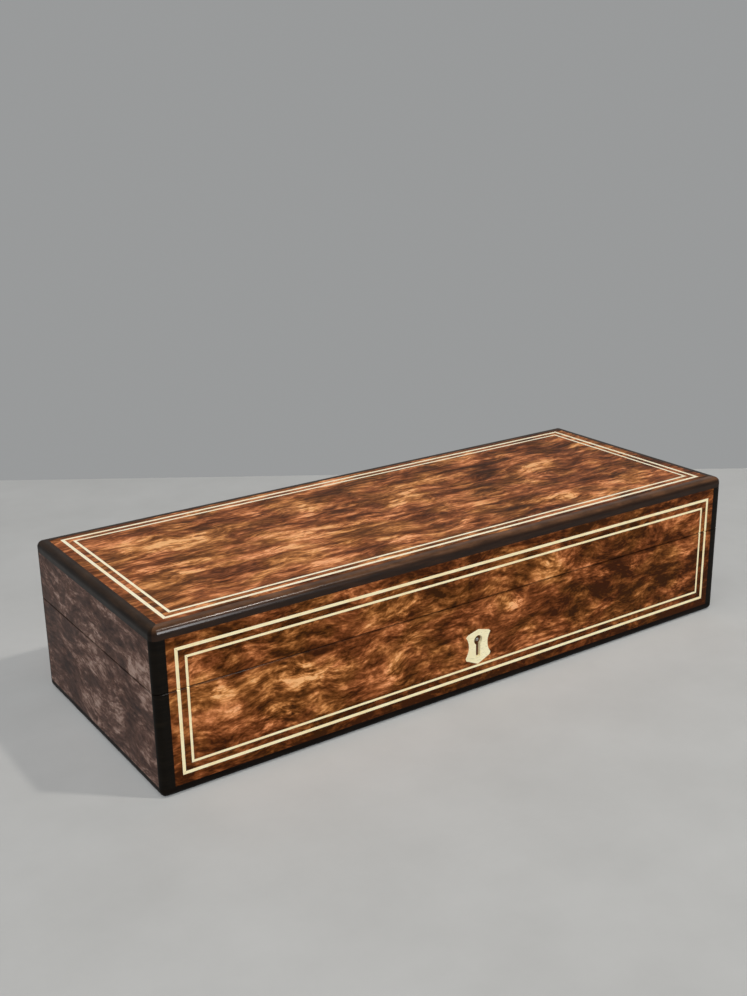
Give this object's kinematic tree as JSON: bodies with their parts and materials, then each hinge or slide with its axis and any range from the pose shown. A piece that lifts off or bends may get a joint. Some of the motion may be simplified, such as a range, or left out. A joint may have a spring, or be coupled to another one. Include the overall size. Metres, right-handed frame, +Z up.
{
  "type": "hinged glove box with lock",
  "caption": "Long low rectangular wooden box with a hinged lid, figured veneer, double metal line inlay on top and front, and a shield-shaped keyhole plate.",
  "frame": {"origin": "centre of the rectangular face that the box rests on", "axes": "+X along the length to the right seen from the front, -Y out of the front with the keyhole, +Z up"},
  "size_m": [0.3, 0.1208, 0.069],
  "materials": {
    "figured_veneer": "French-polished figured veneer",
    "ebony": "French-polished ebony",
    "carcase_wood": "planed and waxed",
    "brass_line": "polished inlay",
    "brass_plate": "polished inlay",
    "brass_fitting": "satin",
    "brass_screw": "satin",
    "steel": "bright drawn",
    "silk_lining": "silk over card",
    "silk_pad": "padded silk",
    "baize": "felted wool"
  },
  "bodies": {
    "base": {"base_back_edging": "ebony", "base_back_veneer": "figured_veneer", "base_back_wall": "carcase_wood", "base_baize": "baize", "base_bottom_board": "carcase_wood", "base_corner_strips": "ebony", "base_floor_pad": "silk_pad", "base_front_edging": "ebony", "base_front_inner_lines": "brass_line", "base_front_outer_lines": "brass_line", "base_front_veneer": "figured_veneer", "base_front_wall": "carcase_wood", "base_hinge_screws": "brass_screw", "base_left_edging": "ebony", "base_left_veneer": "figured_veneer", "base_left_wall": "carcase_wood", "base_right_edging": "ebony", "base_right_veneer": "figured_veneer", "base_right_wall": "carcase_wood", "base_wall_linings": "silk_lining", "keyhole_plate": "brass_plate", "left_hinge_base_leaf": "brass_fitting", "left_hinge_pin": "steel", "lock_cap": "brass_fitting", "lock_drill_pin": "steel", "lock_pillars": "brass_fitting", "lock_plate": "brass_fitting", "lock_screws": "brass_screw", "lock_spring": "steel", "right_hinge_base_leaf": "brass_fitting", "right_hinge_pin": "steel"},
    "lid": {"left_hinge_lid_leaf": "brass_fitting", "lid_back_edging": "ebony", "lid_back_veneer": "figured_veneer", "lid_back_wall": "carcase_wood", "lid_catch_plate": "brass_fitting", "lid_catch_screws": "brass_screw", "lid_corner_strips": "ebony", "lid_front_edging": "ebony", "lid_front_inner_lines": "brass_line", "lid_front_outer_lines": "brass_line", "lid_front_veneer": "figured_veneer", "lid_front_wall": "carcase_wood", "lid_hinge_screws": "brass_screw", "lid_left_edging": "ebony", "lid_left_veneer": "figured_veneer", "lid_left_wall": "carcase_wood", "lid_pad": "silk_pad", "lid_right_edging": "ebony", "lid_right_veneer": "figured_veneer", "lid_right_wall": "carcase_wood", "lid_top_board": "carcase_wood", "lid_top_inner_lines": "brass_line", "lid_top_outer_lines": "brass_line", "lid_top_veneer": "figured_veneer", "lid_wall_linings": "silk_lining", "right_hinge_lid_leaf": "brass_fitting"},
    "bolt": {"lock_bolt": "brass_fitting"}
  },
  "joints": [
    {"name": "lid_hinge", "type": "hinge", "parent": "base", "child": "lid", "pos_m": [0, 0.06005, 0.043], "axis": [-1, 0, 0], "range_deg": [0, 95]},
    {"name": "bolt_slide", "type": "slide", "parent": "base", "child": "bolt", "axis": [1, 0, 0], "range_m": [0, 0.0044]}
  ]
}
